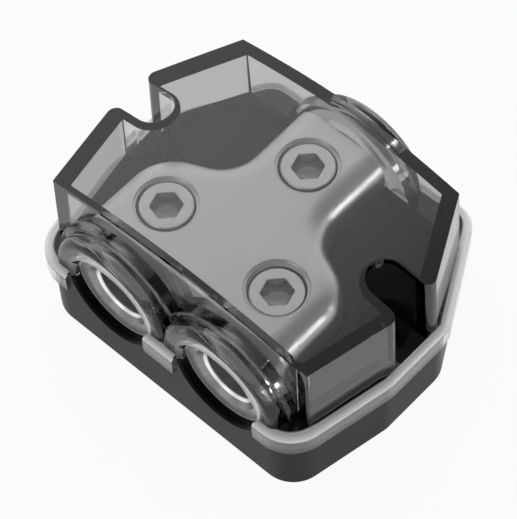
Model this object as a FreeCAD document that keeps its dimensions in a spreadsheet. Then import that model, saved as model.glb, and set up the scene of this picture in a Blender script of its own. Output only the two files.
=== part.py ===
# Power distribution block: one cable in at the rear, two out at the front.
# Millimetres. +X right, +Y to the rear, +Z up. The origin is under the middle of the block, on the surface.
import FreeCAD, Part
import math
import os
import Sketcher

DOC = FreeCAD.newDocument("power_distribution_block")
SHEET = DOC.addObject("Spreadsheet::Sheet", "sizes")

# Driving dimensions, one row of the sheet each
DIMENSIONS = {
    "base_depth": 53.2,
    "base_front_half": 28.7,
    "base_side_half": 32.76,
    "base_rear_half": 21.75,
    "base_shoulder_front": -6.9,
    "base_shoulder_rear": 7.1,
    "base_front_corner": 6.2,
    "base_rear_corner": 4.2,
    "base_shoulder_round": 6.0,
    "ledge_height": 15.4,
    "deck_height": 19.3,
    "lip_height": 20.7,
    "lip_thickness": 1.4,
    "front_wall_thickness": 1.5,
    "port_radius": 8.8,
    "port_edge": 0.4,
    "core_wall": 2.4,
    "core_depth": 4.3,
    "core_deep": 13.0,
    "rib_thickness": 1.6,
    "rib_pitch": 8.6,
    "mount_boss_radius": 4.6,
    "fixing_boss_radius": 5.0,
    "mount_spacing": 52.6,
    "mount_line": 0.4,
    "mount_hole_radius": 2.1,
    "countersink_depth": 1.6,
    "cover_height": 34.6,
    "cover_front_setback": 4.44,
    "cover_rear_setback": 5.34,
    "cover_front_half": 29.06,
    "cover_side_half": 32.55,
    "cover_rear_half": 24.73,
    "cover_shoulder_front": -5.0,
    "cover_shoulder_rear": 6.13,
    "cover_corner": 0.8,
    "cover_rear_bow": 0.97,
    "cover_bow_radius": 250.0,
    "cover_end_wall": 1.73,
    "cover_side_wall": 3.04,
    "cover_top": 2.0,
    "crown_radius": 164.0,
    "draft": 1.66,
    "cover_gap": 0.5,
    "flange_thickness": 1.4,
    "flange_round": 1.0,
    "skirt_gap": 0.3,
    "skirt_thickness": 1.02,
    "skirt_drop": 2.95,
    "skirt_port_half": 9.1,
    "collar_opening": 8.5,
    "collar_radius": 13.0,
    "collar_round": 1.5,
    "collar_length": 2.6,
    "collar_step_radius": 14.2,
    "collar_gap": 0.4,
    "collar_flare": 0.8,
    "notch_radius": 3.6,
    "notch_wall": 1.0,
    "notch_gap": 0.3,
    "notch_round": 1.6,
    "port_spacing": 25.0,
    "port_height": 16.4,
    "barrel_radius": 9.6,
    "barrel_setback": 2.0,
    "barrel_edge": 0.6,
    "block_gap": 0.3,
    "block_top": 28.4,
    "slab_front": 18.8,
    "slab_rear": 19.0,
    "arm_rear": -3.45,
    "web_rear": 2.2,
    "arm_corner": 9.5,
    "web_round": 7.0,
    "top_round": 4.4,
    "front_barrel_end": -3.5,
    "rear_barrel_end": 1.0,
    "barrel_end_round": 7.0,
    "bore_radius": 5.25,
    "bore_chamfer": 1.35,
    "bore_depth": 18.5,
    "bore_tip": 1.5,
    "front_screw_line": -11.2,
    "rear_screw_line": 10.3,
    "thread_radius": 5.0,
    "thread_gap": 0.05,
    "thread_chamfer": 0.65,
    "set_screw_length": 5.65,
    "output_left_recess": 0.3,
    "output_right_recess": 1.1,
    "input_recess": 0.3,
    "set_screw_chamfer": 0.6,
    "set_screw_point": 1.0,
    "socket_width": 5.0,
    "socket_depth": 3.2,
    "socket_turn": 46.0,
    "fixing_front_line": -13.0,
    "fixing_rear_line": -2.6,
    "fixing_radius": 1.5,
    "fixing_gap": 0.1,
    "fixing_length": 13.0,
    "fixing_head_radius": 2.8,
    "fixing_head_height": 2.0,
    "fixing_end_chamfer": 0.5,
    "fixing_head_chamfer": 0.7,
    "driver_recess_width": 2.8,
    "driver_recess_slot": 0.6,
    "driver_recess_depth": 1.2,
    "fixing_tapped_depth": 6.0,
    "counterbore_radius": 3.4,
    "counterbore_depth": 8.0,
}


class Size:
    """A length that carries its value and the expression that gives it."""

    def __init__(self, value, text):
        self.value = value
        self.text = text

    def __add__(self, other):
        other = as_size(other)
        return Size(self.value + other.value, "(%s + %s)" % (self.text, other.text))

    def __sub__(self, other):
        other = as_size(other)
        return Size(self.value - other.value, "(%s - %s)" % (self.text, other.text))

    def __mul__(self, other):
        other = as_size(other)
        return Size(self.value * other.value, "(%s * %s)" % (self.text, other.text))

    def __truediv__(self, other):
        other = as_size(other)
        return Size(self.value / other.value, "(%s / %s)" % (self.text, other.text))

    def __neg__(self):
        return Size(-self.value, "(0 - %s)" % self.text)


def as_size(value):
    """A plain number as a size."""
    if isinstance(value, Size):
        return value
    return Size(float(value), repr(float(value)))


def fill_sheet():
    """Write each driving dimension to a cell of its own, with its name as alias."""
    for row, (name, value) in enumerate(DIMENSIONS.items(), start=1):
        SHEET.set("A%d" % row, name)
        SHEET.set("B%d" % row, str(value))
        SHEET.setAlias("B%d" % row, name)
    DOC.recompute()


def size(name):
    """The driving dimension of this name, read back from the sheet."""
    return Size(float(getattr(SHEET, name)), "sizes." + name)


def bind(item, path, value):
    """Bind one property of an object to a size."""
    item.setExpression(path, as_size(value).text)


fill_sheet()
ZERO = as_size(0.0)
FRONT = -size("base_depth") / 2
REAR = size("base_depth") / 2
PORT_Z = size("port_height")
PORT_X = size("port_spacing") / 2
MOUNT_X = size("mount_spacing") / 2
MOUNT_Y = size("mount_line")
LEDGE = size("ledge_height")
COVER_FRONT = REAR - size("cover_front_setback")
COVER_REAR = REAR - size("cover_rear_setback")
FLANGE_TOP = LEDGE + size("flange_thickness")
BARREL_END = REAR - size("barrel_setback")
ARM_HALF = PORT_X + size("barrel_radius")
STEM_HALF = size("barrel_radius")
HEX_CORNER = 1.0 / math.sqrt(3.0)
HEX_TALL = 0.5

# The three ports: name, place across, and which way the mouth faces along Y
PORTS = (
    ("output_left", -PORT_X, -1),
    ("output_right", PORT_X, -1),
    ("input", ZERO, 1),
)

# The two screws that hold the block: name and place along Y
FIXINGS = (
    ("front", size("fixing_front_line")),
    ("rear", size("fixing_rear_line")),
)


def mirrored_corners(right_side):
    """A closed outline from its right half, listed from front to rear."""
    left_side = [(-x, y) for x, y in reversed(right_side) if x.value > 0.0]
    return right_side + left_side


def line_points(corners, insets):
    """Where the corners lie once each side has moved inwards by its inset."""
    count = len(corners)
    sides = []
    for i in range(count):
        start = FreeCAD.Vector(corners[i][0].value, corners[i][1].value, 0)
        end = FreeCAD.Vector(corners[(i + 1) % count][0].value, corners[(i + 1) % count][1].value, 0)
        along = (end - start).normalize()
        inward = FreeCAD.Vector(-along.y, along.x, 0)
        sides.append((start + inward * insets[i].value, along))
    points = []
    for i in range(count):
        (p, d), (q, e) = sides[i - 1], sides[i]
        across = d.x * e.y - d.y * e.x
        reach = ((q.x - p.x) * e.y - (q.y - p.y) * e.x) / across
        points.append(p + d * reach)
    return points, [side[1] for side in sides]


def add_distance(sketch, kind, geometry, value, position=1):
    """Hold a point at a distance from the sketch's origin along one axis."""
    number = sketch.addConstraint(Sketcher.Constraint(kind, -1, 1, geometry, position, value.value))
    bind(sketch, "Constraints[%d]" % number, value)


def draw_outline(sketch, corners, rounds, insets=None):
    """Draw a closed outline, anticlockwise, with each corner's round and each side's inset."""
    count = len(corners)
    moved = insets is not None
    points, along = line_points(corners, insets if moved else [ZERO] * count)
    trims = []
    for i in range(count):
        turn = math.atan2(along[i - 1].cross(along[i]).z, along[i - 1].dot(along[i]))
        trims.append((rounds[i].value * math.tan(abs(turn) / 2), turn))
    lines = []
    for i in range(count):
        start = points[i] + along[i] * trims[i][0]
        end = points[(i + 1) % count] - along[i] * trims[(i + 1) % count][0]
        lines.append(sketch.addGeometry(Part.LineSegment(start, end), False))
    for i in range(count):
        join_corner(sketch, lines[i - 1], lines[i], points[i], along[i - 1], along[i], trims[i], rounds[i])
    if moved:
        place_inset_sides(sketch, lines, corners, insets)
    else:
        place_sides(sketch, lines, corners, rounds)


def join_corner(sketch, before, after, corner, along_before, along_after, trim, radius):
    """Join two sides, with an arc where the corner is rounded."""
    if radius.value == 0.0:
        sketch.addConstraint(Sketcher.Constraint("Coincident", before, 2, after, 1))
        return
    reach, turn = trim
    side = math.copysign(1.0, turn)
    start = corner - along_before * reach
    end = corner + along_after * reach
    centre = start + FreeCAD.Vector(-along_before.y, along_before.x, 0) * (radius.value * side)
    first, last = (start, end) if side > 0 else (end, start)
    first_angle = math.atan2(first.y - centre.y, first.x - centre.x)
    last_angle = math.atan2(last.y - centre.y, last.x - centre.x)
    circle = Part.Circle(centre, FreeCAD.Vector(0, 0, 1), radius.value)
    arc = sketch.addGeometry(Part.ArcOfCircle(circle, first_angle, last_angle), False)
    enter, leave = (1, 2) if side > 0 else (2, 1)
    sketch.addConstraint(Sketcher.Constraint("Tangent", before, 2, arc, enter))
    sketch.addConstraint(Sketcher.Constraint("Tangent", arc, leave, after, 1))
    number = sketch.addConstraint(Sketcher.Constraint("Radius", arc, radius.value))
    bind(sketch, "Constraints[%d]" % number, radius)


def place_sides(sketch, lines, corners, rounds):
    """Hold each corner of the outline at its place."""
    for i, (x, y) in enumerate(corners):
        if rounds[i].value == 0.0:
            add_distance(sketch, "DistanceX", lines[i], x)
            add_distance(sketch, "DistanceY", lines[i], y)
            continue
        point = sketch.addGeometry(Part.Point(FreeCAD.Vector(x.value, y.value, 0)), True)
        add_distance(sketch, "DistanceX", point, x)
        add_distance(sketch, "DistanceY", point, y)
        sketch.addConstraint(Sketcher.Constraint("PointOnObject", point, 1, lines[i - 1]))
        sketch.addConstraint(Sketcher.Constraint("PointOnObject", point, 1, lines[i]))


def place_inset_sides(sketch, lines, corners, insets):
    """Hold each side parallel to the outline that it follows, at its inset."""
    count = len(corners)
    guides = []
    for i in range(count):
        start = FreeCAD.Vector(corners[i][0].value, corners[i][1].value, 0)
        end = FreeCAD.Vector(corners[(i + 1) % count][0].value, corners[(i + 1) % count][1].value, 0)
        guides.append(sketch.addGeometry(Part.LineSegment(start, end), True))
    for i in range(count):
        sketch.addConstraint(Sketcher.Constraint("Coincident", guides[i - 1], 2, guides[i], 1))
        add_distance(sketch, "DistanceX", guides[i], corners[i][0])
        add_distance(sketch, "DistanceY", guides[i], corners[i][1])
        sketch.addConstraint(Sketcher.Constraint("Parallel", lines[i], guides[i]))
        inset = Size(abs(insets[i].value), "abs(%s)" % insets[i].text)
        number = sketch.addConstraint(Sketcher.Constraint("Distance", guides[i], 1, lines[i], inset.value))
        bind(sketch, "Constraints[%d]" % number, inset)


def place_sketch(sketch, offset, path):
    """Set a sketch's place from three sizes."""
    for axis, value in zip("xyz", offset):
        bind(sketch, "%s.Base.%s" % (path, axis), value)


def body_sketch(body, name, role, offset=(ZERO, ZERO, ZERO)):
    """A sketch on one of the body's own origin planes, moved by an offset in that plane's frame."""
    plane = [item for item in body.Origin.OriginFeatures if item.Role == role][0]
    sketch = body.newObject("Sketcher::SketchObject", name)
    sketch.AttachmentSupport = (plane, [""])
    sketch.MapMode = "FlatFace"
    place_sketch(sketch, offset, "AttachmentOffset")
    return sketch


def free_sketch(name, height):
    """A level sketch at a height, for a solid that is extruded from it."""
    sketch = DOC.addObject("Sketcher::SketchObject", name)
    place_sketch(sketch, (ZERO, ZERO, height), "Placement")
    return sketch


def sharp(corners):
    """No round at any corner."""
    return [ZERO] * len(corners)


def add_circle(sketch, radius, x=ZERO, y=ZERO):
    """A circle of this radius at a place in the sketch."""
    centre = FreeCAD.Vector(x.value, y.value, 0)
    circle = sketch.addGeometry(Part.Circle(centre, FreeCAD.Vector(0, 0, 1), radius.value), False)
    number = sketch.addConstraint(Sketcher.Constraint("Radius", circle, radius.value))
    bind(sketch, "Constraints[%d]" % number, radius)
    add_distance(sketch, "DistanceX", circle, x, 3)
    add_distance(sketch, "DistanceY", circle, y, 3)


def new_body(name):
    """An empty body whose label is the piece's name."""
    body = DOC.addObject("PartDesign::Body", name)
    body.Label = name
    return body


def pad(body, name, sketch, length, taper=None):
    """Raise a sketch into a solid."""
    feature = body.newObject("PartDesign::Pad", name)
    feature.Profile = sketch
    bind(feature, "Length", length)
    if taper is not None:
        bind(feature, "TaperAngle", taper)
    return feature


def pocket(body, name, sketch, length, upwards=False):
    """Cut a sketch's shape out of the body, downwards unless told otherwise."""
    feature = body.newObject("PartDesign::Pocket", name)
    feature.Profile = sketch
    feature.Reversed = upwards
    bind(feature, "Length", length)
    return feature


def turned(body, name, kind, role, offset, corners, rounds=None):
    """Turn a half profile about the sketch's own vertical axis, adding or cutting."""
    sketch = body_sketch(body, name + "_profile", role, offset)
    draw_outline(sketch, corners, rounds or sharp(corners))
    feature = body.newObject("PartDesign::" + kind, name)
    feature.Profile = sketch
    feature.ReferenceAxis = (sketch, ["V_Axis"])
    feature.Angle = 360.0
    return feature


def edges_where(shape, test):
    """Names of the edges whose middle passes a test."""
    names = []
    for number, edge in enumerate(shape.Edges, start=1):
        middle = edge.valueAt((edge.FirstParameter + edge.LastParameter) / 2)
        if test(edge, middle):
            names.append("Edge%d" % number)
    return names


def fillet(body, name, base, edges, radius):
    """Round the named edges of the last feature."""
    feature = body.newObject("PartDesign::Fillet", name)
    feature.Base = (base, edges)
    bind(feature, "Radius", radius)
    return feature


def close_to(value, target):
    """Whether two lengths agree."""
    return abs(value - target) < 0.01


def base_corners():
    """The base's outline, before its corners are rounded."""
    return mirrored_corners([
        (size("base_front_half"), FRONT),
        (size("base_side_half"), size("base_shoulder_front")),
        (size("base_side_half"), size("base_shoulder_rear")),
        (size("base_rear_half"), REAR),
    ])


def base_rounds(extra=ZERO):
    """The round of each corner of the base's outline, grown by an offset outwards."""
    right = [size("base_front_corner"), size("base_shoulder_round"),
             size("base_shoulder_round"), size("base_rear_corner")]
    right = [radius + extra for radius in right]
    return right + right[::-1]


def cover_corners():
    """The outline of the cover's wall at its foot, with the rear bowed outwards."""
    rear = COVER_REAR
    return mirrored_corners([
        (size("cover_front_half"), -COVER_FRONT),
        (size("cover_side_half"), size("cover_shoulder_front")),
        (size("cover_side_half"), size("cover_shoulder_rear")),
        (size("cover_rear_half"), rear),
        (ZERO, rear + size("cover_rear_bow")),
    ])


def cover_rounds():
    """The round of each corner of the cover's wall."""
    corner = size("cover_corner")
    return [corner] * 4 + [size("cover_bow_radius")] + [corner] * 4


def cover_insets(extra=ZERO):
    """How far each side of the cavity lies inside the cover's outline."""
    side = size("cover_side_wall") + extra
    end = size("cover_end_wall") + extra
    return [side, side, side, end, end, side, side, side, end]


def notch_corners(radius, reach):
    """The straight part of a side notch, from its centre outwards."""
    return [
        (MOUNT_X, MOUNT_Y - radius),
        (reach, MOUNT_Y - radius),
        (reach, MOUNT_Y + radius),
        (MOUNT_X, MOUNT_Y + radius),
    ]


def block_plan(gap=ZERO):
    """The block's outline from above: two arms in front and a stem behind, grown by a gap."""
    return mirrored_corners([
        (ARM_HALF + gap, -size("slab_front") - gap),
        (ARM_HALF + gap, size("arm_rear") + gap),
        (STEM_HALF + gap, size("web_rear") + gap),
        (STEM_HALF + gap, size("slab_rear") + gap),
    ])


def block_rounds(gap=ZERO):
    """The round of each corner of the block's outline."""
    right = [ZERO, size("arm_corner") + gap, size("web_round") - gap, ZERO]
    return right + right[::-1]


def barrel_span(facing):
    """How far a barrel reaches along Y: its inner end and its mouth."""
    if facing > 0:
        return size("rear_barrel_end"), BARREL_END
    return size("front_barrel_end"), -BARREL_END


def barrel_profile(facing, radius, inner_y, mouth_y, edge):
    """Half of a barrel's section, from its inner end to its mouth."""
    corners = [(ZERO, inner_y), (ZERO, mouth_y), (radius, mouth_y), (radius, inner_y)]
    rounds = [ZERO, ZERO, edge, size("barrel_end_round") + (radius - size("barrel_radius"))]
    if facing > 0:
        corners.reverse()
        rounds.reverse()
    return corners, rounds


def make_base():
    """The moulded base: a tray with a ledge, a raised deck with a lip, ports, troughs and screw seats."""
    body = new_body("base")
    outline = body_sketch(body, "base_outline", "XY_Plane")
    draw_outline(outline, base_corners(), base_rounds())
    pad(body, "tray", outline, LEDGE)
    core_underside(body)
    rim = body_sketch(body, "rim_outline", "XY_Plane", (ZERO, ZERO, LEDGE))
    draw_outline(rim, cover_corners(), cover_rounds(), cover_insets(size("cover_gap")))
    pad(body, "rim", rim, size("lip_height") - LEDGE)
    deck = body_sketch(body, "deck_outline", "XY_Plane", (ZERO, ZERO, size("lip_height")))
    deck_insets = cover_insets(size("cover_gap") + size("lip_thickness"))
    draw_outline(deck, cover_corners(), cover_rounds(), deck_insets)
    pocket(body, "deck", deck, size("lip_height") - size("deck_height"))
    cut_seat(body)
    for name, x, facing in PORTS:
        cut_trough(body, name, x, facing)
        cut_port(body, name, x, facing)
    for name, side in (("left", -1), ("right", 1)):
        cut_mount(body, name, side)
    for name, line in FIXINGS:
        cut_fixing_hole(body, name, line)
    return body


def rectangle(left, right, front, rear):
    """The four corners of an upright rectangle."""
    return [(left, front), (right, front), (right, rear), (left, rear)]


def core_underside(body):
    """Hollow the underside, and leave walls, ribs from front to rear and a boss round each screw."""
    wall = size("core_wall")
    depth = size("core_depth")
    recess = body_sketch(body, "core_outline", "XY_Plane")
    corners = base_corners()
    draw_outline(recess, corners, base_rounds(-wall), [wall] * len(corners))
    pocket(body, "core", recess, depth, upwards=True)
    half = size("rib_thickness") / 2
    pitch = size("rib_pitch")
    ribs = body_sketch(body, "rib_outlines", "XY_Plane")
    for place in (-2.5, -1.5, -0.5, 0.5, 1.5, 2.5):
        line = pitch * place
        end = wall if abs(place) > 2 else wall / 2
        bar = rectangle(line - half, line + half, FRONT + wall / 2, REAR - end)
        draw_outline(ribs, bar, sharp(bar))
    pad(body, "ribs", ribs, depth)
    for name, side in (("left", -1), ("right", 1)):
        near = pitch * 1.5 + half
        far = pitch * 2.5 - half
        front = size("front_barrel_end") + size("block_gap") + wall
        cell = rectangle(near, far, front, REAR - wall * 1.5)
        if side < 0:
            cell = rectangle(-far, -near, front, REAR - wall * 1.5)
        deep = body_sketch(body, "deep_core_%s_outline" % name, "XY_Plane")
        draw_outline(deep, cell, sharp(cell))
        pocket(body, "deep_core_" + name, deep, size("core_deep"), upwards=True)
        add_boss(body, "mount_boss_" + name, size("mount_boss_radius"), MOUNT_X * side, MOUNT_Y)
    for name, line in FIXINGS:
        add_boss(body, "fixing_boss_" + name, size("fixing_boss_radius"), ZERO, line)


def add_boss(body, name, radius, x, y):
    """A round post in the hollow underside, for a screw to go through."""
    ring = body_sketch(body, name + "_outline", "XY_Plane")
    add_circle(ring, radius, x, y)
    pad(body, name, ring, size("core_depth"))


def cut_seat(body):
    """The pocket in the deck that the block's slab sits in, down to the height of the bores."""
    plan = body_sketch(body, "seat_outline", "XY_Plane", (ZERO, ZERO, size("lip_height")))
    gap = size("block_gap")
    draw_outline(plan, block_plan(gap), block_rounds(gap))
    pocket(body, "seat", plan, size("lip_height") - PORT_Z)


def cut_trough(body, name, x, facing):
    """The round trough under one barrel, behind the wall that its port is in."""
    inner_y, mouth_y = barrel_span(facing)
    gap = size("block_gap")
    outer_y = REAR - size("front_wall_thickness")
    if facing < 0:
        corners, rounds = barrel_profile(facing, size("barrel_radius") + gap, inner_y + gap, -outer_y, ZERO)
    else:
        corners, rounds = barrel_profile(facing, size("barrel_radius") + gap, inner_y - gap, outer_y, ZERO)
    turned(body, "trough_" + name, "Groove", "XY_Plane", (x, ZERO, PORT_Z), corners, rounds)


def cut_port(body, name, x, facing):
    """The half-round opening in the base's wall, with its outer edge broken."""
    radius = size("port_radius")
    edge = size("port_edge")
    outer = REAR + edge
    inner = REAR - size("front_wall_thickness") - size("block_gap")
    corners = [(ZERO, inner), (radius, inner), (radius, REAR - edge), (radius + edge * 2, outer), (ZERO, outer)]
    if facing < 0:
        corners = [(x_place, -y_place) for x_place, y_place in reversed(corners)]
    turned(body, "port_" + name, "Groove", "XY_Plane", (x, ZERO, PORT_Z), corners)


def cut_mount(body, name, side):
    """A screw hole with its countersink, in a recess that lets the cover's notch down to the ledge."""
    radius = size("notch_radius") + size("notch_wall") + size("notch_gap")
    depth = size("lip_height") - LEDGE
    slot = body_sketch(body, "slot_%s_outline" % name, "XY_Plane", (ZERO, ZERO, size("lip_height")))
    corners = notch_corners(radius, size("base_side_half"))
    if side < 0:
        corners = [(-x, y) for x, y in reversed(corners)]
    draw_outline(slot, corners, sharp(corners))
    pocket(body, "slot_" + name, slot, depth)
    end = body_sketch(body, "slot_%s_end" % name, "XY_Plane", (ZERO, ZERO, size("lip_height")))
    add_circle(end, radius, MOUNT_X * side, MOUNT_Y)
    pocket(body, "slot_end_" + name, end, depth)
    hole = size("mount_hole_radius")
    sink = size("countersink_depth")
    profile = [(ZERO, ZERO), (hole, ZERO), (hole, LEDGE - sink), (hole + sink, LEDGE), (ZERO, LEDGE)]
    turned(body, "mount_" + name, "Groove", "XZ_Plane", (MOUNT_X * side, ZERO, -MOUNT_Y), profile)


def cut_fixing_hole(body, name, line):
    """A counterbored hole from underneath for a screw that holds the block."""
    hole = size("fixing_radius") + size("fixing_gap")
    wide = size("counterbore_radius")
    seat = size("counterbore_depth")
    profile = [(ZERO, ZERO), (wide, ZERO), (wide, seat), (hole, seat), (hole, PORT_Z), (ZERO, PORT_Z)]
    turned(body, "fixing_hole_" + name, "Groove", "XZ_Plane", (ZERO, ZERO, -line), profile)


def make_terminal_block():
    """The metal block: a slab over three barrels, bored for the cables and tapped for the screws."""
    body = new_body("terminal_block")
    plan = body_sketch(body, "slab_outline", "XY_Plane", (ZERO, ZERO, PORT_Z))
    draw_outline(plan, block_plan(), block_rounds())
    slab = pad(body, "slab", plan, size("block_top") - PORT_Z)
    DOC.recompute()
    top = size("block_top").value
    front = -size("slab_front").value
    rear = size("slab_rear").value

    def is_side_of_top(edge, middle):
        return (close_to(middle.z, top) and not close_to(middle.y, front) and not close_to(middle.y, rear)
                and edge.BoundBox.ZLength < 0.01)

    fillet(body, "slab_round", slab, edges_where(slab.Shape, is_side_of_top), size("top_round"))
    for name, x, facing in PORTS:
        inner_y, mouth_y = barrel_span(facing)
        corners, rounds = barrel_profile(facing, size("barrel_radius"), inner_y, mouth_y, size("barrel_edge"))
        turned(body, "barrel_" + name, "Revolution", "XY_Plane", (x, ZERO, PORT_Z), corners, rounds)
    for name, x, facing in PORTS:
        bore_port(body, name, x, facing)
        tap_port(body, name, x, facing)
    for name, line in FIXINGS:
        hole = size("fixing_radius") + size("thread_gap")
        deep = PORT_Z + size("fixing_tapped_depth")
        profile = [(ZERO, PORT_Z), (hole, PORT_Z), (hole, deep), (ZERO, deep + hole / 2)]
        turned(body, "tapped_hole_" + name, "Groove", "XZ_Plane", (ZERO, ZERO, -line), profile)
    return body


def bore_port(body, name, x, facing):
    """The cable bore of one barrel, chamfered at its mouth, with a drilled end."""
    radius = size("bore_radius")
    chamfer = size("bore_chamfer")
    mouth = BARREL_END
    bottom = BARREL_END - size("bore_depth")
    corners = [(ZERO, bottom - size("bore_tip")), (radius, bottom), (radius, mouth - chamfer),
               (radius + chamfer, mouth), (ZERO, mouth)]
    if facing < 0:
        corners = [(x_place, -y_place) for x_place, y_place in reversed(corners)]
    turned(body, "bore_" + name, "Groove", "XY_Plane", (x, ZERO, PORT_Z), corners)


def tap_port(body, name, x, facing):
    """The threaded hole over one bore, chamfered at the top."""
    radius = size("thread_radius")
    chamfer = size("thread_chamfer")
    top = size("block_top")
    corners = [(ZERO, PORT_Z), (radius, PORT_Z), (radius, top - chamfer), (radius + chamfer, top), (ZERO, top)]
    turned(body, "thread_" + name, "Groove", "XZ_Plane", (x, ZERO, -screw_line(facing)), corners)


def screw_line(facing):
    """Where along Y a port's set screw stands."""
    if facing > 0:
        return size("rear_screw_line")
    return size("front_screw_line")


def make_set_screw(name, x, facing):
    """A hexagon-socket set screw, turned in to its own depth below the block's top."""
    body = new_body("set_screw_" + name)
    radius = size("thread_radius") - size("thread_gap")
    chamfer = size("set_screw_chamfer")
    point = size("set_screw_point")
    top = size("block_top") - size(name + "_recess")
    foot = top - size("set_screw_length")
    corners = [(ZERO, foot), (radius - point, foot), (radius, foot + point), (radius, top - chamfer),
               (radius - chamfer, top), (ZERO, top)]
    turned(body, name + "_shank", "Revolution", "XZ_Plane", (x, ZERO, -screw_line(facing)), corners)
    socket = body_sketch(body, name + "_socket_outline", "XY_Plane", (x, screw_line(facing), top))
    bind(socket, "AttachmentOffset.Rotation.Angle", size("socket_turn"))
    socket.AttachmentOffset = FreeCAD.Placement(socket.AttachmentOffset.Base,
                                                FreeCAD.Rotation(FreeCAD.Vector(0, 0, 1), 1))
    across = size("socket_width")
    hexagon = [(across * HEX_CORNER, ZERO), (across * (HEX_CORNER / 2), across * HEX_TALL),
               (-across * (HEX_CORNER / 2), across * HEX_TALL), (-across * HEX_CORNER, ZERO),
               (-across * (HEX_CORNER / 2), -across * HEX_TALL), (across * (HEX_CORNER / 2), -across * HEX_TALL)]
    draw_outline(socket, hexagon, sharp(hexagon))
    pocket(body, name + "_socket", socket, size("socket_depth"))
    return body


def make_fixing_screw(name, line):
    """A small pan-head screw that holds the block down from underneath."""
    body = new_body("block_screw_" + name)
    seat = size("counterbore_depth")
    radius = size("fixing_radius")
    head = size("fixing_head_radius")
    head_foot = seat - size("fixing_head_height")
    tip = seat + size("fixing_length")
    edge = size("fixing_head_chamfer")
    end = size("fixing_end_chamfer")
    corners = [(ZERO, head_foot), (head - edge, head_foot), (head, head_foot + edge), (head, seat),
               (radius, seat), (radius, tip - end), (radius - end, tip), (ZERO, tip)]
    turned(body, name + "_shank", "Revolution", "XZ_Plane", (ZERO, ZERO, -line), corners)
    across = size("driver_recess_width") / 2
    wing = size("driver_recess_slot") / 2
    slot = body_sketch(body, name + "_recess_outline", "XY_Plane", (ZERO, line, head_foot))
    cross = [(wing, wing), (wing, across), (-wing, across), (-wing, wing), (-across, wing), (-across, -wing),
             (-wing, -wing), (-wing, -across), (wing, -across), (wing, -wing), (across, -wing), (across, wing)]
    draw_outline(slot, cross, sharp(cross))
    pocket(body, name + "_recess", slot, size("driver_recess_depth"), upwards=True)
    return body


def extruded(name, sketch, height, taper=None):
    """A solid raised straight up from a level sketch."""
    item = DOC.addObject("Part::Extrusion", name)
    item.Base = sketch
    item.DirMode = "Custom"
    item.Dir = FreeCAD.Vector(0, 0, 1)
    item.Solid = True
    bind(item, "LengthFwd", height)
    if taper is not None:
        bind(item, "TaperAngle", taper)
    return item


def boolean(kind, name, base, tool):
    """One solid cut from, or shared with, another."""
    item = DOC.addObject("Part::" + kind, name)
    item.Base = base
    item.Tool = tool
    return item


def fused(name, items):
    """Several solids as one."""
    item = DOC.addObject("Part::MultiFuse", name)
    item.Shapes = items
    item.Refine = True
    return item


def crown(name, lowering):
    """The space under the crowned top: a wide cylinder along Y whose crest is at the top."""
    item = DOC.addObject("Part::Cylinder", name)
    item.Placement = FreeCAD.Placement(FreeCAD.Vector(), FreeCAD.Rotation(FreeCAD.Vector(1, 0, 0), -90))
    bind(item, "Radius", size("crown_radius") - lowering)
    bind(item, "Height", size("base_depth") * 2)
    bind(item, "Placement.Base.y", -size("base_depth"))
    bind(item, "Placement.Base.z", size("cover_height") - size("crown_radius"))
    return item


def make_skirt():
    """The flange at the cover's foot, rounded on top, with the skirt that hangs over the base's edge."""
    body = new_body("skirt")
    outset = size("skirt_gap") + size("skirt_thickness")
    sides = len(base_corners())
    outline = body_sketch(body, "skirt_outline", "XY_Plane", (ZERO, ZERO, LEDGE - size("skirt_drop")))
    draw_outline(outline, base_corners(), base_rounds(outset), [-outset] * sides)
    ring = pad(body, "skirt_ring", outline, size("skirt_drop") + size("flange_thickness"))
    DOC.recompute()
    top = FLANGE_TOP.value
    on_top = edges_where(ring.Shape, lambda edge, middle: close_to(middle.z, top) and edge.BoundBox.ZLength < 0.01)
    fillet(body, "skirt_round", ring, on_top, size("flange_round"))
    gap = size("skirt_gap")
    inside = body_sketch(body, "skirt_inside", "XY_Plane", (ZERO, ZERO, LEDGE - size("skirt_drop")))
    draw_outline(inside, base_corners(), base_rounds(gap), [-gap] * sides)
    pocket(body, "skirt_hollow", inside, size("skirt_drop"), upwards=True)
    return body


def side_wall_prism(name, radius, reach, foot, height):
    """The two upright prisms of the side notches, round inside and straight to the outside."""
    pieces = []
    for label, side in (("left", -1), ("right", 1)):
        box = DOC.addObject("Part::Box", "%s_%s_way" % (name, label))
        bind(box, "Length", reach - MOUNT_X)
        bind(box, "Width", radius * 2)
        bind(box, "Height", height)
        bind(box, "Placement.Base.x", MOUNT_X if side > 0 else -reach)
        bind(box, "Placement.Base.y", MOUNT_Y - radius)
        bind(box, "Placement.Base.z", foot)
        post = DOC.addObject("Part::Cylinder", "%s_%s_end" % (name, label))
        bind(post, "Radius", radius)
        bind(post, "Height", height)
        bind(post, "Placement.Base.x", MOUNT_X * side)
        bind(post, "Placement.Base.y", MOUNT_Y)
        bind(post, "Placement.Base.z", foot)
        pieces += [box, post]
    return fused(name, pieces)


def ring_solid(name, x, facing, corners, rounds=None):
    """A solid turned about a port's axis from a half profile measured towards the port's mouth."""
    corners = [(r, y * facing) for r, y in corners]
    rounds = rounds or sharp(corners)
    if facing < 0:
        corners = corners[::-1]
        rounds = rounds[::-1]
    sketch = free_sketch(name + "_profile", PORT_Z)
    bind(sketch, "Placement.Base.x", x)
    draw_outline(sketch, corners, rounds)
    item = DOC.addObject("Part::Revolution", name)
    item.Source = sketch
    item.Axis = FreeCAD.Vector(0, 1, 0)
    bind(item, "Base.x", x)
    bind(item, "Base.z", PORT_Z)
    item.Angle = 360.0
    item.Solid = True
    return item


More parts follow.
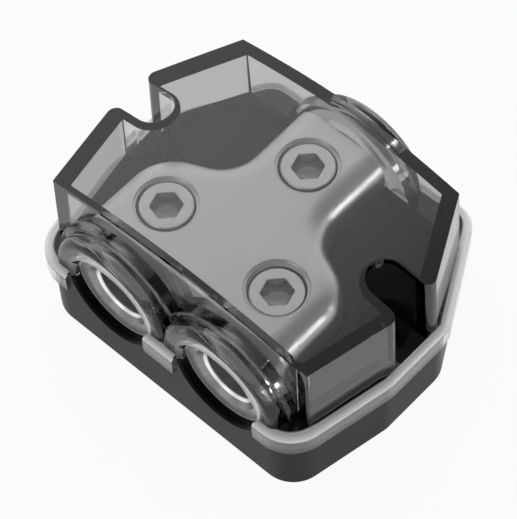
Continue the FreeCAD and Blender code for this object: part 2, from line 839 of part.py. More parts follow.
def make_collar(name, x, facing):
    """The stepped arch over one port, in front of the cover's wall."""
    wall = COVER_REAR if facing > 0 else COVER_FRONT
    root = wall - size("cover_end_wall") / 2
    step = REAR - size("collar_length")
    inner = size("collar_opening")
    corners = [(inner, root), (size("collar_step_radius"), root), (size("collar_step_radius"), step),
               (size("collar_radius"), step), (size("collar_radius"), REAR), (inner, REAR)]
    rounds = [ZERO, ZERO, size("cover_corner") / 2, ZERO, size("collar_round"), ZERO]
    return ring_solid("collar_" + name, x, facing, corners, rounds)


def make_passage(name, x, facing):
    """The way through the cover at one port: a narrow mouth, then room for the barrel."""
    room = size("barrel_radius") + size("collar_gap")
    mouth = size("collar_opening")
    flare = size("collar_flare")
    lip = REAR - size("front_wall_thickness")
    wall = COVER_REAR if facing > 0 else COVER_FRONT
    inner = wall - size("cover_end_wall") * 2
    corners = [(ZERO, inner), (room, inner), (room, lip), (mouth, lip), (mouth, REAR - flare),
               (mouth + flare, REAR), (mouth + flare, REAR + flare), (ZERO, REAR + flare)]
    return ring_solid("passage_" + name, x, facing, corners)


def make_port_gap(name, x, facing):
    """The gap in the skirt in front of one port."""
    half = size("skirt_port_half")
    deep = size("skirt_gap") + size("skirt_thickness") + size("flange_thickness")
    box = DOC.addObject("Part::Box", "gap_" + name)
    bind(box, "Length", half * 2)
    bind(box, "Width", deep)
    bind(box, "Height", size("skirt_drop") * 2 + size("flange_thickness"))
    bind(box, "Placement.Base.x", x - half)
    bind(box, "Placement.Base.y", REAR if facing > 0 else FRONT - deep)
    bind(box, "Placement.Base.z", LEDGE - size("skirt_drop") * 2)
    return box


def make_cover():
    """The clear cover: drafted walls under a crowned top, side notches, collars and a skirt."""
    tall = size("cover_height") - LEDGE
    wall_sketch = free_sketch("wall_outline", LEDGE)
    draw_outline(wall_sketch, cover_corners(), cover_rounds())
    wall_block = extruded("wall_block", wall_sketch, tall, -size("draft"))
    outside = boolean("Common", "crowned_block", wall_block, crown("crown_outside", ZERO))
    cavity_sketch = free_sketch("cavity_outline", LEDGE)
    draw_outline(cavity_sketch, cover_corners(), cover_rounds(), cover_insets())
    cavity_block = extruded("cavity_block", cavity_sketch, tall, -size("draft"))
    cavity = boolean("Common", "cavity", cavity_block, crown("crown_inside", size("cover_top")))
    shell = boolean("Cut", "shell", outside, cavity)
    notch_wall = side_wall_prism("notch_walls", size("notch_radius") + size("notch_wall"),
                                 size("base_side_half"), LEDGE, tall)
    towers = boolean("Common", "towers", notch_wall, outside)
    collars = [make_collar(name, x, facing) for name, x, facing in PORTS]
    upper = boolean("Cut", "upper_collars", fused("collars", collars), below_ledge())
    skirt = boolean("Cut", "skirt_and_flange", make_skirt(), flange_hole())
    solid = fused("cover_solid", [shell, towers, upper, skirt])
    voids = [side_wall_prism("notches", size("notch_radius"), size("cover_side_half"), LEDGE, tall * 2)]
    for name, x, facing in PORTS:
        voids.append(make_passage(name, x, facing))
        voids.append(make_port_gap(name, x, facing))
    moulding = boolean("Cut", "moulding", solid, fused("cover_voids", voids))
    moulding.Refine = True
    return round_notches(moulding)


def round_notches(moulding):
    """The finished cover: its moulding with the outer corners of the side notches rounded."""
    body = new_body("cover")
    body.BaseFeature = moulding
    DOC.recompute()
    start = body.Group[0]
    wall = size("cover_side_half").value - size("cover_side_wall").value
    half = size("notch_radius").value

    def is_notch_corner(edge, middle):
        beside = close_to(abs(middle.y - MOUNT_Y.value), half)
        return beside and abs(middle.x) > wall and edge.BoundBox.ZLength > half

    fillet(body, "notch_round", start, edges_where(start.Shape, is_notch_corner), size("notch_round"))
    return body


def below_ledge():
    """Everything under the cover's seat, which the collars stop at."""
    box = DOC.addObject("Part::Box", "below_ledge")
    bind(box, "Length", size("base_side_half") * 4)
    bind(box, "Width", size("base_depth") * 2)
    bind(box, "Height", LEDGE)
    bind(box, "Placement.Base.x", -size("base_side_half") * 2)
    bind(box, "Placement.Base.y", -size("base_depth"))
    return box


def flange_hole():
    """The opening in the flange under the cavity."""
    sketch = free_sketch("flange_hole_outline", LEDGE)
    draw_outline(sketch, cover_corners(), cover_rounds(), cover_insets())
    return extruded("flange_hole", sketch, size("flange_thickness"), -size("draft"))


def check_document(pieces):
    """Stop if any feature failed or any piece is not a valid solid."""
    for item in DOC.Objects:
        if "Invalid" in item.State or "Error" in item.State:
            raise ValueError("%s failed: %s" % (item.Name, item.State))
    for piece in pieces:
        if piece.Shape.isNull() or not piece.Shape.isValid() or not piece.Shape.Solids:
            raise ValueError("%s is not a valid solid" % piece.Label)


def main():
    pieces = [make_base(), make_terminal_block(), make_cover()]
    pieces += [make_set_screw(name, x, facing) for name, x, facing in PORTS]
    for name, line in FIXINGS:
        pieces.append(make_fixing_screw(name, line))
    DOC.recompute()
    check_document(pieces)
    os.makedirs("parts", exist_ok=True)
    for piece in pieces:
        piece.Shape.exportStep("parts/%s.step" % piece.Label)
        print(piece.Label, len(piece.Shape.Solids), round(piece.Shape.Volume, 1))


main()
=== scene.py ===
# Looks of the power distribution block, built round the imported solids. Metres, same frame as the solids.
import math

import bmesh
import bpy
from mathutils import Matrix, Vector


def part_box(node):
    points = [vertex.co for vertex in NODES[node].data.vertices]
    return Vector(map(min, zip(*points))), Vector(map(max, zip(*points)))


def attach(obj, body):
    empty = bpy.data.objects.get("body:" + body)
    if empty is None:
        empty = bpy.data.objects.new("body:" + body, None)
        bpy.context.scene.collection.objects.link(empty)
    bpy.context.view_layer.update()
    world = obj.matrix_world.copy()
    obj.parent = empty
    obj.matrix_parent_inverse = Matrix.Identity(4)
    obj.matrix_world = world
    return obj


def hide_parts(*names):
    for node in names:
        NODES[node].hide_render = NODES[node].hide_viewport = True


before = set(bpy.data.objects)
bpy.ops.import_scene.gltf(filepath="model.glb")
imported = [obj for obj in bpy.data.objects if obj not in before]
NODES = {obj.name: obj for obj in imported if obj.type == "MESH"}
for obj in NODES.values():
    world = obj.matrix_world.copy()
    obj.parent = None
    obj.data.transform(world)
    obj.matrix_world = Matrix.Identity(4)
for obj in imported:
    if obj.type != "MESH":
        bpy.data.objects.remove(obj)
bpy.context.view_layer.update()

# The camera's place about the photograph's aim point, and its lens
VIEW_AZIMUTH = math.radians(45.92)
VIEW_ELEVATION = math.radians(57.28)
VIEW_ROLL = math.radians(-3.91)
VIEW_DISTANCE = 0.4211
AIM_ACROSS = 0.01346
AIM_UP = 0.00137
AIM_POINT = Vector((0.0, -0.0216, 0.0346))
SENSOR = 36.0
LENS = 179.95
NEAREST_SEEN = 0.01
FARTHEST_SEEN = 10.0

SET_SCREWS = ("set_screw_output_left", "set_screw_output_right", "set_screw_input")
BLOCK_SCREWS = ("block_screw_front", "block_screw_rear")

# The ports in the base: height of the axis, radius of the wall, and how far out the wall starts
PORT_HEIGHT = 0.0164
PORT_WALL = 0.0093
PORT_DEPTH = 0.0232

# The block's turned barrels: how far out they stand free and end, and the radii of what was turned
BARREL_START = 0.0165
MOUTH_START = 0.0231
BORE_RADIUS = 0.0053
RING_RADIUS = 0.0057
CHAMFER_RADIUS = 0.0067
RIM_RADIUS = 0.0084
SIDE_RADIUS = 0.0091
BARREL_RADIUS = 0.0098
HALF_STEP = 0.00003

# The bead round the cover's flange: its heights, its reach inwards from the base's outline, and its slope
BEAD_LOW = 0.0157
BEAD_HIGH = 0.0169
BEAD_REACH = 0.0001
BEAD_FADE = 0.0003
BEAD_SLOPE = (0.1, 0.3)

# The right half of the base's outline before its corners are rounded, from front to rear
BASE_RIGHT = ((0.0287, -0.0266), (0.03276, -0.0069), (0.03276, 0.0071), (0.02175, 0.0266))
FRONT_BLEND = 0.0084
REAR_BLEND = 0.0034
BLEND_HALF = 0.01

# A set screw's thread and socket
PITCH = 0.0015
THREAD_DEPTH = 0.0007
THREAD_STEPS = 36
RUN_IN_STEPS = 5
HOLE_THREAD = (0.0052, 0.0054)
TURN_OFFSET = 100.0
SOCKET_HALF = 0.0025
SOCKET_DEPTH = 0.0032
SOCKET_TURN = math.radians(46.0)
DRILL_RADIUS = 0.0022
DRILL_TIP = 0.0013
SOCKET_EDGE = 0.0001
SOCKET_REACH = 0.003
SCREW_EDGE = 0.0002
THREAD_TOP = 1.4 * SCREW_EDGE
POINT_SHARE = 0.8
SHARP_ANGLE = math.radians(28.0)
SEGMENTS = 72

# Pairs of limits: where noise begins and ends to count, then greys and roughness from low to high
NOISE_RANGE = (0.3, 0.7)
CUT_RANGE = (0.35, 0.65)
BASE_GREY = (0.022, 0.030)
BASE_ROUGHNESS = (0.30, 0.42)
CLEAR_ROUGHNESS = (0.0, 0.02)
SATIN_GREY = (0.67, 0.72)
SATIN_ROUGHNESS = (0.32, 0.40)
# The end face is partly a duller cut finish and partly painted shade; the chamfer is darkened as painted
# shade
FACED_AND_SHADE_GREY = (0.40, 0.50)
CHAMFER_SHADE_GREY = (0.24, 0.30)
SCREW_GREY = (0.56, 0.62)
SCREW_ROUGHNESS = (0.2, 0.26)

# Noise: its scale per metre, detail and roughness
GRAIN = (4500.0, 4.0, 0.6)
CLOUD = (60.0, 2.0, 0.5)
FLOW = (35.0, 2.0, 0.5)
CUT = (700.0, 4.0, 0.6)
CAST = (2500.0, 4.0, 0.6)
SKIN = (260.0, 3.0, 0.5)
LATHE = (2600.0, 2.0, 0.5)
TURNING = (1800.0, 3.0, 0.5)
SCRATCH = (900.0, 3.0, 0.5)
PLAIN_STRETCH = (1.0, 1.0, 1.0)
LATHE_STRETCH = (0.02, 1.0, 0.02)

# Relief: its strength and depth
GRAIN_RELIEF = (0.05, 0.00003)
FLOW_RELIEF = (0.05, 0.0002)
SKIN_RELIEF = (0.1, 0.00012)
CAST_RELIEF = (0.03, 0.00003)
LATHE_RELIEF = (0.15, 0.00004)
THREAD_RELIEF = (1.0, 0.0008)
SCRATCH_RELIEF = (0.08, 0.00005)

# Black plastic: the painted shade inside the ports, and its shine
PORT_SHADE_GREY = 0.003
BASE_SHINE = 0.06

# Clear plastic: its tint, its smoke, and how the bead differs: frosted, and milky white as a painted
# highlight
CLEAR_GREY = 0.97
CLEAR_IOR = 1.5
SMOKE_COLOUR = (0.55, 0.55, 0.555, 1)
SMOKE_DENSITY = 260.0
BEAD_ROUGHNESS = 0.3
BEAD_HIGHLIGHT_CLEARNESS = 0.22

# Metals: painted highlights on the bright edges, painted light in the lighter bore, how metallic the mouth
# looks, and painted shade in the sockets
METAL_WARMTH = 0.006
PAINTED_HIGHLIGHT_GREY = 0.95
BORE_PAINTED_LIGHT_GREY = 0.8
BORE_METAL = 0.35
FACED_METAL = 0.5
TURNED_POLISH = -0.24
SOCKET_SHADE_GREY = 0.50

# The softened edges: their radii and how finely they are sampled
CAST_EDGE = 0.0003
FINE_EDGE = 0.0001
EDGE_SAMPLES = 6

# The colour sockets of a Mix node
COLOUR_INPUTS = (6, 7)
COLOUR_OUTPUT = 2

# The floor, the sky and the lamps
FLOOR_SIZE = 6.0
FLOOR_GREY = 0.9
FLOOR_ROUGHNESS = 0.9
FLOOR_GLOW = 0.93
SKY_SIDE = (0.1, 1.0)
SKY_LEVEL = (0.34, 1.3)
HORIZON_FADE = (0.1, 0.35)
LAMP_AIM = Vector((0.0, 0.0, 0.015))
KEY_PLACE = (-0.1, -0.6, 0.35)
KEY_SIZE = 0.4
KEY_POWER = 0.5
RIM_PLACE = (0.55, 0.23, 0.05)
RIM_SIZE = 0.1
RIM_POWER = 0.45


def make_camera():
    """The camera at the photograph's angle, turned about its own axis as there."""
    back = Vector((
        math.sin(VIEW_AZIMUTH) * math.cos(VIEW_ELEVATION),
        -math.cos(VIEW_AZIMUTH) * math.cos(VIEW_ELEVATION),
        math.sin(VIEW_ELEVATION),
    ))
    level = Vector((math.cos(VIEW_AZIMUTH), math.sin(VIEW_AZIMUTH), 0.0))
    rise = back.cross(level)
    right = level * math.cos(VIEW_ROLL) + rise * math.sin(VIEW_ROLL)
    up = rise * math.cos(VIEW_ROLL) - level * math.sin(VIEW_ROLL)
    data = bpy.data.cameras.new("camera")
    data.sensor_width = SENSOR
    data.lens = LENS
    data.clip_start = NEAREST_SEEN
    data.clip_end = FARTHEST_SEEN
    camera = bpy.data.objects.new("camera", data)
    bpy.context.scene.collection.objects.link(camera)
    place = AIM_POINT + back * VIEW_DISTANCE + right * AIM_ACROSS + up * AIM_UP
    turn = Matrix((right, up, back)).transposed().to_4x4()
    camera.matrix_world = Matrix.Translation(place) @ turn
    bpy.context.scene.camera = camera


def middle_of(name):
    """Where a node's upright axis stands."""
    low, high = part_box(name)
    return (low[0] + high[0]) / 2, (low[1] + high[1]) / 2


def new_material(name):
    """A material, its node tree and the shader in it."""
    material = bpy.data.materials.new(name)
    material.use_nodes = True
    tree = material.node_tree
    return material, tree, tree.nodes["Principled BSDF"]


def add_node(tree, kind, **values):
    """A node with its named inputs set."""
    node = tree.nodes.new(kind)
    for name, value in values.items():
        node.inputs[name.replace("_", " ")].default_value = value
    return node


def maths(tree, operation, first, second=None, third=None, clamp=False):
    """The result of one sum on sockets or plain numbers."""
    node = tree.nodes.new("ShaderNodeMath")
    node.operation = operation
    node.use_clamp = clamp
    for number, value in enumerate((first, second, third)):
        if value is None:
            continue
        if isinstance(value, (int, float)):
            node.inputs[number].default_value = value
        else:
            tree.links.new(value, node.inputs[number])
    return node.outputs[0]


def split(tree, vector):
    """The three parts of a vector."""
    node = tree.nodes.new("ShaderNodeSeparateXYZ")
    tree.links.new(vector, node.inputs[0])
    return node.outputs


def position(tree):
    """The three coordinates of a point in the object's own frame."""
    return split(tree, tree.nodes.new("ShaderNodeTexCoord").outputs["Object"])


def distance(tree, first, second):
    """How far off a point is, from how far off it is in two directions at right angles."""
    squares = maths(tree, "ADD", maths(tree, "POWER", first, 2.0), maths(tree, "POWER", second, 2.0))
    return maths(tree, "SQRT", squares)


def noise(tree, kind, stretch=PLAIN_STRETCH):
    """Noise of one kind in the object's own coordinates."""
    scale, detail, roughness = kind
    place = tree.nodes.new("ShaderNodeTexCoord")
    mapping = add_node(tree, "ShaderNodeMapping", Scale=stretch)
    node = add_node(tree, "ShaderNodeTexNoise", Scale=scale, Detail=detail, Roughness=roughness)
    tree.links.new(place.outputs["Object"], mapping.inputs["Vector"])
    tree.links.new(mapping.outputs["Vector"], node.inputs["Vector"])
    return node.outputs["Fac"]


def spread(tree, source, limits, levels=(0.0, 1.0), smooth=False):
    """Map a value between two limits to a range."""
    node = tree.nodes.new("ShaderNodeMapRange")
    node.interpolation_type = "SMOOTHSTEP" if smooth else "LINEAR"
    node.inputs["From Min"].default_value = limits[0]
    node.inputs["From Max"].default_value = limits[1]
    node.inputs["To Min"].default_value = levels[0]
    node.inputs["To Max"].default_value = levels[1]
    tree.links.new(source, node.inputs["Value"])
    return node.outputs["Result"]


def step_up(tree, source, edge):
    """1 where a value is past an edge, with a narrow soft step."""
    return spread(tree, source, (edge - HALF_STEP, edge + HALF_STEP))


def grey(value, warmth=0.0):
    """A grey, a little warm or cool."""
    return (value * (1 + warmth), value, value * (1 - warmth), 1)


def colour_mix(tree, factor, first, second):
    """A colour between two, picked by a factor."""
    node = tree.nodes.new("ShaderNodeMix")
    node.data_type = "RGBA"
    tree.links.new(factor, node.inputs[0])
    for number, value in zip(COLOUR_INPUTS, (first, second)):
        if isinstance(value, tuple):
            node.inputs[number].default_value = value
        else:
            tree.links.new(value, node.inputs[number])
    return node.outputs[COLOUR_OUTPUT]


def grey_mix(tree, factor, greys, warmth=0.0):
    """A grey between two, picked by a factor."""
    return colour_mix(tree, factor, grey(greys[0], warmth), grey(greys[1], warmth))


def relief(tree, shader, layers, edge=None):
    """Soften the edges and raise the surface's normal by several layers of (height, strength, depth)."""
    normal = None
    if edge:
        bevel = add_node(tree, "ShaderNodeBevel", Radius=edge)
        bevel.samples = EDGE_SAMPLES
        normal = bevel.outputs["Normal"]
    for height, strength, depth in layers:
        node = add_node(tree, "ShaderNodeBump", Strength=strength, Distance=depth)
        tree.links.new(height, node.inputs["Height"])
        if normal:
            tree.links.new(normal, node.inputs["Normal"])
        normal = node.outputs["Normal"]
    tree.links.new(normal, shader.inputs["Normal"])


def distance_to_port(tree, place):
    """How far a point is from the axis of the nearest port that faces its way."""
    nearest = None
    for across, along in PORTS:
        behind = maths(tree, "LESS_THAN", maths(tree, "MULTIPLY", place[1], along), 0.0)
        east = maths(tree, "SUBTRACT", place[0], across)
        rise = maths(tree, "SUBTRACT", place[2], PORT_HEIGHT)
        here = maths(tree, "ADD", behind, distance(tree, east, rise))
        nearest = here if nearest is None else maths(tree, "MINIMUM", nearest, here)
    return nearest


def base_plastic():
    """Black moulded plastic with a fine spark-eroded grain and painted shade inside the ports."""
    material, tree, shader = new_material("base_plastic")
    grain = noise(tree, GRAIN)
    cloud = spread(tree, noise(tree, CLOUD), NOISE_RANGE)
    colour = grey_mix(tree, cloud, BASE_GREY)
    place = position(tree)
    # Painted shade: the inner walls of the ports are coloured near black
    outside = maths(tree, "GREATER_THAN", maths(tree, "ABSOLUTE", place[1]), PORT_DEPTH)
    inside = maths(tree, "LESS_THAN", distance_to_port(tree, place), PORT_WALL)
    painted_port_shade = maths(tree, "MULTIPLY", outside, inside)
    tree.links.new(colour_mix(tree, painted_port_shade, colour, grey(PORT_SHADE_GREY)), shader.inputs["Base Color"])
    tree.links.new(spread(tree, grain, NOISE_RANGE, BASE_ROUGHNESS), shader.inputs["Roughness"])
    shader.inputs["Specular IOR Level"].default_value = BASE_SHINE
    relief(tree, shader, [(grain, *GRAIN_RELIEF)], CAST_EDGE)
    return material


def past_outline(tree, place):
    """How far a point lies outside the base's outline."""
    across = maths(tree, "ABSOLUTE", place[0])
    ends = maths(tree, "SUBTRACT", maths(tree, "ABSOLUTE", place[1]), BASE_RIGHT[-1][1])
    sides = None
    for (x1, y1), (x2, y2) in zip(BASE_RIGHT, BASE_RIGHT[1:]):
        length = math.hypot(x2 - x1, y2 - y1)
        east = (y2 - y1) / length
        north = (x1 - x2) / length
        side = maths(tree, "MULTIPLY_ADD", across, east, maths(tree, "MULTIPLY", place[1], north))
        side = maths(tree, "SUBTRACT", side, east * x1 + north * y1)
        sides = side if sides is None else maths(tree, "MAXIMUM", sides, side)
    blend = spread(tree, place[1], (-BLEND_HALF, BLEND_HALF), (FRONT_BLEND, REAR_BLEND))
    return maths(tree, "SMOOTH_MAX", ends, sides, blend)


def flange_bead(tree):
    """1 on the rounded edge of the cover's flange, 0 elsewhere."""
    place = position(tree)
    low = maths(tree, "GREATER_THAN", place[2], BEAD_LOW)
    high = maths(tree, "LESS_THAN", place[2], BEAD_HIGH)
    normal = split(tree, tree.nodes.new("ShaderNodeNewGeometry").outputs["Normal"])
    slope = maths(tree, "ABSOLUTE", normal[2])
    outer = spread(tree, past_outline(tree, place), (-BEAD_REACH - BEAD_FADE, -BEAD_REACH))
    tilted = maths(tree, "MULTIPLY", spread(tree, slope, BEAD_SLOPE), outer)
    return maths(tree, "MULTIPLY", maths(tree, "MULTIPLY", low, high), tilted)


def cover_plastic():
    """Clear smoked plastic, darker where it is thicker, frosted on the flange's bead and made milky white
    there as a painted highlight.
    """
    material, tree, shader = new_material("cover_plastic")
    shader.inputs["Base Color"].default_value = grey(CLEAR_GREY)
    shader.inputs["IOR"].default_value = CLEAR_IOR
    flow = noise(tree, FLOW)
    bead = flange_bead(tree)
    smooth = spread(tree, flow, NOISE_RANGE, CLEAR_ROUGHNESS)
    rough = maths(tree, "MULTIPLY_ADD", bead, BEAD_ROUGHNESS, smooth)
    tree.links.new(rough, shader.inputs["Roughness"])
    # Painted highlight: less clear on the bead, so its white base colour shows
    clearness_with_painted_bead_highlight = spread(tree, bead, (0.0, 1.0), (1.0, BEAD_HIGHLIGHT_CLEARNESS))
    tree.links.new(clearness_with_painted_bead_highlight, shader.inputs["Transmission Weight"])
    relief(tree, shader, [(flow, *FLOW_RELIEF)])
    smoke = add_node(tree, "ShaderNodeVolumeAbsorption", Color=SMOKE_COLOUR, Density=SMOKE_DENSITY)
    tree.links.new(smoke.outputs["Volume"], tree.nodes["Material Output"].inputs["Volume"])
    return material


def thread_height(tree, place, across, along):
    """Grooves of a thread on one screw hole's wall, flat away from it."""
    east = maths(tree, "SUBTRACT", place[0], across)
    north = maths(tree, "SUBTRACT", place[1], along)
    turn = maths(tree, "DIVIDE", maths(tree, "ARCTAN2", north, east), 2 * math.pi)
    climb = maths(tree, "ADD", maths(tree, "DIVIDE", place[2], PITCH), TURN_OFFSET)
    wave = maths(tree, "PINGPONG", maths(tree, "ADD", climb, turn), 0.5)
    near = spread(tree, distance(tree, east, north), HOLE_THREAD, (1.0, 0.0))
    return maths(tree, "MULTIPLY", wave, near)


def plated_metal():
    """Satin nickel over a casting, with turned barrels, painted highlights, light and shade in the cut
    mouths, and threads in the screw holes.
    """
    material, tree, shader = new_material("plated_metal")
    place = position(tree)
    depth = maths(tree, "ABSOLUTE", place[1])
    radius = distance_to_port(tree, place)
    mouth = step_up(tree, depth, MOUTH_START)
    past_bore = step_up(tree, radius, BORE_RADIUS)
    past_ring = step_up(tree, radius, RING_RADIUS)
    past_chamfer = step_up(tree, radius, CHAMFER_RADIUS)
    past_rim = step_up(tree, radius, RIM_RADIUS)
    past_face = step_up(tree, radius, SIDE_RADIUS)
    in_barrel = maths(tree, "SUBTRACT", 1.0, step_up(tree, radius, BARREL_RADIUS))
    turned = maths(tree, "MULTIPLY", step_up(tree, depth, BARREL_START), in_barrel)

    # Colour, from the bore outwards: painted light in the bore, a painted highlight on the ring, painted
    # shade on the chamfer, the end face partly a duller cut finish and partly painted shade, and a painted
    # highlight on the rim
    cloud = spread(tree, noise(tree, CLOUD), NOISE_RANGE)
    satin = grey_mix(tree, cloud, SATIN_GREY, METAL_WARMTH)
    cut = spread(tree, noise(tree, CUT), CUT_RANGE)
    face_and_rim_highlight = colour_mix(tree, past_rim, grey_mix(tree, cut, FACED_AND_SHADE_GREY), grey(PAINTED_HIGHLIGHT_GREY))
    chamfer_shade_outwards = colour_mix(tree, past_chamfer, grey_mix(tree, cut, CHAMFER_SHADE_GREY), face_and_rim_highlight)
    edge = colour_mix(tree, past_ring, grey(PAINTED_HIGHLIGHT_GREY), chamfer_shade_outwards)
    front = colour_mix(tree, past_bore, grey(BORE_PAINTED_LIGHT_GREY), edge)
    front = colour_mix(tree, past_face, front, satin)
    tree.links.new(colour_mix(tree, mouth, satin, front), shader.inputs["Base Color"])

    # How metallic it looks, from the bore outwards
    shine = grey_mix(tree, past_bore, (BORE_METAL, 1.0))
    shine = colour_mix(tree, past_chamfer, shine, grey(FACED_METAL))
    shine = colour_mix(tree, past_face, shine, grey(1.0))
    tree.links.new(colour_mix(tree, mouth, grey(1.0), shine), shader.inputs["Metallic"])

    fine = noise(tree, CAST)
    cast = spread(tree, fine, NOISE_RANGE, SATIN_ROUGHNESS)
    rough = maths(tree, "MULTIPLY_ADD", maths(tree, "MULTIPLY", turned, past_face), TURNED_POLISH, cast)
    tree.links.new(rough, shader.inputs["Roughness"])
    skin = noise(tree, SKIN)
    lathe = maths(tree, "MULTIPLY", turned, noise(tree, LATHE, LATHE_STRETCH))
    layers = [(skin, *SKIN_RELIEF), (fine, *CAST_RELIEF), (lathe, *LATHE_RELIEF)]
    for across, along in PORTS:
        layers.append((thread_height(tree, place, across, along), *THREAD_RELIEF))
    relief(tree, shader, layers, CAST_EDGE)
    return material


def in_socket(tree):
    """1 on the walls and floor of a set screw's socket."""
    place = position(tree)
    inside = None
    for name in SET_SCREWS:
        across, along = middle_of(name)
        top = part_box(name)[1][2]
        east = maths(tree, "SUBTRACT", place[0], across)
        north = maths(tree, "SUBTRACT", place[1], along)
        near = maths(tree, "LESS_THAN", distance(tree, east, north), SOCKET_REACH)
        sunk = maths(tree, "LESS_THAN", place[2], top - SOCKET_EDGE)
        here = maths(tree, "MULTIPLY", near, sunk)
        inside = here if inside is None else maths(tree, "MAXIMUM", inside, here)
    return inside


def screw_metal():
    """Plated steel with fine turning marks, with painted shade in the sockets."""
    material, tree, shader = new_material("screw_metal")
    shader.inputs["Metallic"].default_value = 1.0
    fine = noise(tree, TURNING)
    colour = grey_mix(tree, spread(tree, fine, NOISE_RANGE), SCREW_GREY, METAL_WARMTH)
    # Painted shade: the sockets' walls and floor are coloured darker
    colour = colour_mix(tree, in_socket(tree), colour, grey(SOCKET_SHADE_GREY, METAL_WARMTH))
    tree.links.new(colour, shader.inputs["Base Color"])
    tree.links.new(spread(tree, fine, NOISE_RANGE, SCREW_ROUGHNESS), shader.inputs["Roughness"])
    relief(tree, shader, [(noise(tree, SCRATCH), *SCRATCH_RELIEF)], FINE_EDGE)
    return material


def smooth_shading(mesh):
    """Shade all faces of a mesh smoothly."""
    for polygon in mesh.polygons:
        polygon.use_smooth = True


def dress(name, material):
    """Give a node its material and smooth shading."""
    mesh = NODES[name].data
    mesh.materials.clear()
    mesh.materials.append(material)
    smooth_shading(mesh)


def hexagon_radius(angle):
    """How far the socket's wall lies from its middle at an angle from one corner."""
    return SOCKET_HALF / math.cos((angle % (math.pi / 3)) - math.pi / 6)


def thread_ring(angles, outer, height, run_in):
    """One ring of the thread: the groove fades out towards both ends."""
    ring = []
    for angle in angles:
        wave = (height / PITCH + angle / (2 * math.pi)) % 1.0
        groove = THREAD_DEPTH * (1 - abs(2 * wave - 1)) * run_in
        taper = SCREW_EDGE * (1 - run_in)
        ring.append((outer - groove - taper, height))
    return ring


def screw_rings(angles, low, high):
    """The rings of a set screw from the socket's tip to its point: radius and height at each angle."""
    top = high[2]
    foot = low[2]
    outer = (high[0] - low[0]) / 2
    floor = top - SOCKET_DEPTH
    rings = [[(0.0, floor - DRILL_TIP)] * SEGMENTS]
    rings.append([(DRILL_RADIUS, floor)] * SEGMENTS)
    rings.append([(hexagon_radius(angle), floor) for angle in angles])
    rings.append([(hexagon_radius(angle), top - SOCKET_EDGE) for angle in angles])
    rings.append([(hexagon_radius(angle) + SOCKET_EDGE, top) for angle in angles])
    rings.append([(outer - 2 * SCREW_EDGE, top)] * SEGMENTS)
    rings.append([(outer - SCREW_EDGE, top - SCREW_EDGE)] * SEGMENTS)
    start = top - THREAD_TOP
    end = foot + PITCH * 0.5
    for step in range(THREAD_STEPS + 1):
        height = start + (end - start) * step / THREAD_STEPS
        run_in = min(1.0, step / RUN_IN_STEPS, (THREAD_STEPS - step) / RUN_IN_STEPS)
        rings.append(thread_ring(angles, outer, height, run_in))
    rings.append([(outer * POINT_SHARE, foot)] * SEGMENTS)
    rings.append([(0.0, foot)] * SEGMENTS)
    return rings


def make_set_screw(name, material):
    """A set screw with a real thread, a chamfered hexagon socket and the drill's cone in it."""
    across, along = middle_of(name)
    angles = [i * 2 * math.pi / SEGMENTS for i in range(SEGMENTS)]
    mesh = bmesh.new()
    rows = []
    for ring in screw_rings(angles, *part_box(name)):
        if ring[0][0] == 0.0:
            rows.append([mesh.verts.new((across, along, ring[0][1]))] * SEGMENTS)
            continue
        row = []
        for angle, (radius, height) in zip(angles, ring):
            turn = angle + SOCKET_TURN
            x = across + radius * math.cos(turn)
            y = along + radius * math.sin(turn)
            row.append(mesh.verts.new((x, y, height)))
        rows.append(row)
    for inner, outer in zip(rows, rows[1:]):
        for i in range(SEGMENTS):
            j = (i + 1) % SEGMENTS
            corners = []
            for vertex in (inner[i], outer[i], outer[j], inner[j]):
                if vertex not in corners:
                    corners.append(vertex)
            mesh.faces.new(corners)
    bmesh.ops.recalc_face_normals(mesh, faces=mesh.faces)
    data = bpy.data.meshes.new(name + "_threaded")
    mesh.to_mesh(data)
    mesh.free()
    data.materials.append(material)
    smooth_shading(data)
    data.set_sharp_from_angle(angle=SHARP_ANGLE)
    piece = bpy.data.objects.new(name + "_threaded", data)
    bpy.context.scene.collection.objects.link(piece)
    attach(piece, name.replace("set_screw", "screw"))
    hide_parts(name)


def seen_directly(tree):
    """1 for a ray that the camera sees, also by reflection or through the clear plastic."""
    path = tree.nodes.new("ShaderNodeLightPath").outputs
    seen = maths(tree, "ADD", path["Is Camera Ray"], path["Is Glossy Ray"], clamp=True)
    return maths(tree, "ADD", seen, path["Is Transmission Ray"], clamp=True)


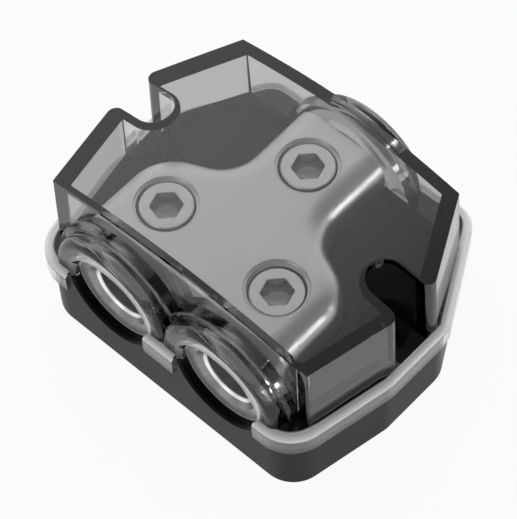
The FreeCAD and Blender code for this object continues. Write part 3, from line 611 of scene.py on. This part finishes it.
def make_floor():
    """A plain white floor that keeps a light shadow of the object."""
    bpy.ops.mesh.primitive_plane_add(size=FLOOR_SIZE, location=(0, 0, 0))
    floor = bpy.context.object
    floor.name = "floor"
    material, tree, shader = new_material("floor")
    shader.inputs["Base Color"].default_value = grey(FLOOR_GREY)
    shader.inputs["Roughness"].default_value = FLOOR_ROUGHNESS
    glow = add_node(tree, "ShaderNodeEmission", Strength=1.0)
    mix = tree.nodes.new("ShaderNodeMixShader")
    tree.links.new(maths(tree, "MULTIPLY", seen_directly(tree), FLOOR_GLOW), mix.inputs[0])
    tree.links.new(shader.outputs["BSDF"], mix.inputs[1])
    tree.links.new(glow.outputs["Emission"], mix.inputs[2])
    tree.links.new(mix.outputs["Shader"], tree.nodes["Material Output"].inputs["Surface"])
    floor.data.materials.append(material)


def make_world():
    """Soft light from all round, white at the horizon, bright at the left rear and dim at the right front."""
    world = bpy.data.worlds.new("world")
    bpy.context.scene.world = world
    world.use_nodes = True
    tree = world.node_tree
    light = tree.nodes["Background"]
    light.inputs["Color"].default_value = grey(1.0)
    way = split(tree, tree.nodes.new("ShaderNodeTexCoord").outputs["Generated"])
    side = maths(tree, "SUBTRACT", way[1], way[0])
    sky = spread(tree, side, SKY_SIDE, SKY_LEVEL, smooth=True)
    horizon = spread(tree, way[2], HORIZON_FADE, (1.0, 0.0), smooth=True)
    tree.links.new(maths(tree, "MAXIMUM", sky, horizon), light.inputs["Strength"])


def make_lamp(name, place, size, power):
    """A square soft lamp aimed at the object."""
    data = bpy.data.lights.new(name, "AREA")
    data.energy = power
    data.size = size
    lamp = bpy.data.objects.new(name, data)
    bpy.context.scene.collection.objects.link(lamp)
    lamp.location = place
    lamp.rotation_mode = "QUATERNION"
    lamp.rotation_quaternion = (LAMP_AIM - Vector(place)).to_track_quat("-Z", "Y")


make_camera()
bpy.context.scene.view_settings.view_transform = "Standard"
PORTS = [middle_of(name) for name in SET_SCREWS]
SCREWS = screw_metal()
dress("base", base_plastic())
dress("cover", cover_plastic())
dress("terminal_block", plated_metal())
for screw in BLOCK_SCREWS:
    dress(screw, SCREWS)
for screw in SET_SCREWS:
    make_set_screw(screw, SCREWS)
make_floor()
make_world()
make_lamp("key", KEY_PLACE, KEY_SIZE, KEY_POWER)
make_lamp("rim", RIM_PLACE, RIM_SIZE, RIM_POWER)
